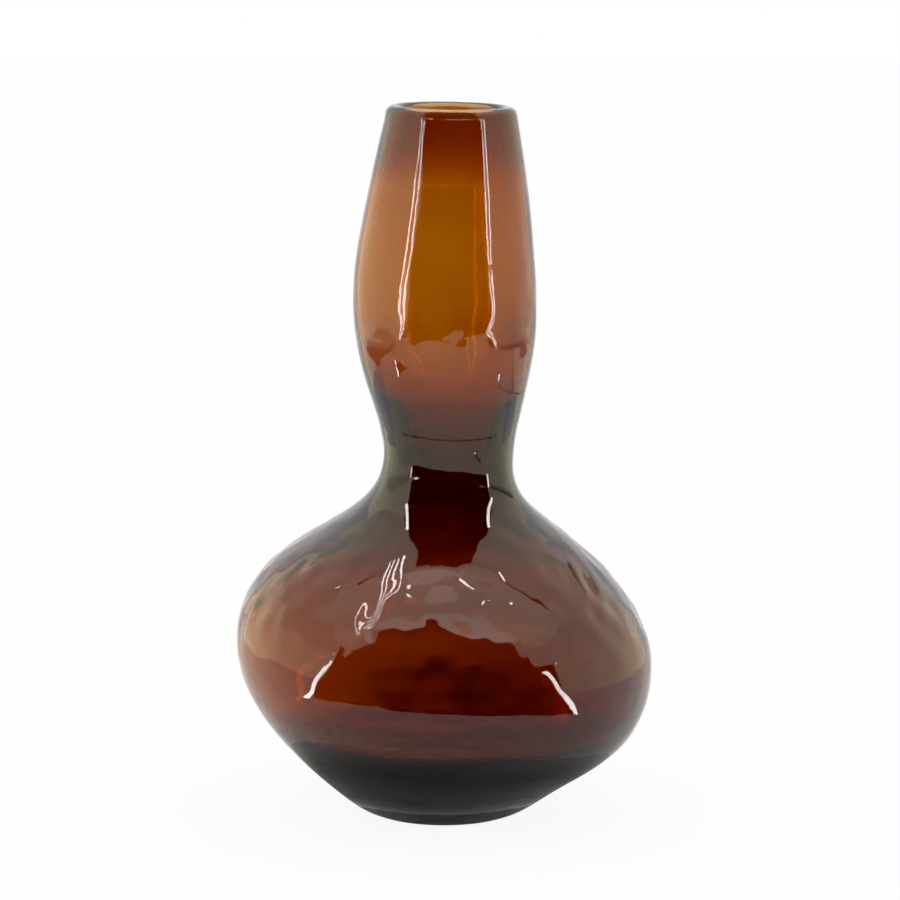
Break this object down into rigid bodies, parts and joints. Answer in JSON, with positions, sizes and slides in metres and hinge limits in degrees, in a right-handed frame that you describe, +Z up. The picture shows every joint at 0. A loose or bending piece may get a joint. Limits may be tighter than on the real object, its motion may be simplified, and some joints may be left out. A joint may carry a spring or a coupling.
{
  "type": "gourd vase",
  "caption": "Gourd-shaped flower vase of thick transparent amber glass: low wide belly, narrow waist, slim upper bulb and rounded open lip.",
  "frame": {"origin": "centre of the ground face on the underside that the vase rests on", "axes": "+Z up along the vase; +X to the right and -Y towards the viewer in the pictured view"},
  "size_m": [0.2055, 0.2046, 0.3505],
  "materials": {
    "amber_glass": "transparent, fire-polished gloss"
  },
  "bodies": {
    "root": {"outer_gather": "amber_glass", "inner_gather": "amber_glass"}
  },
  "joints": []
}
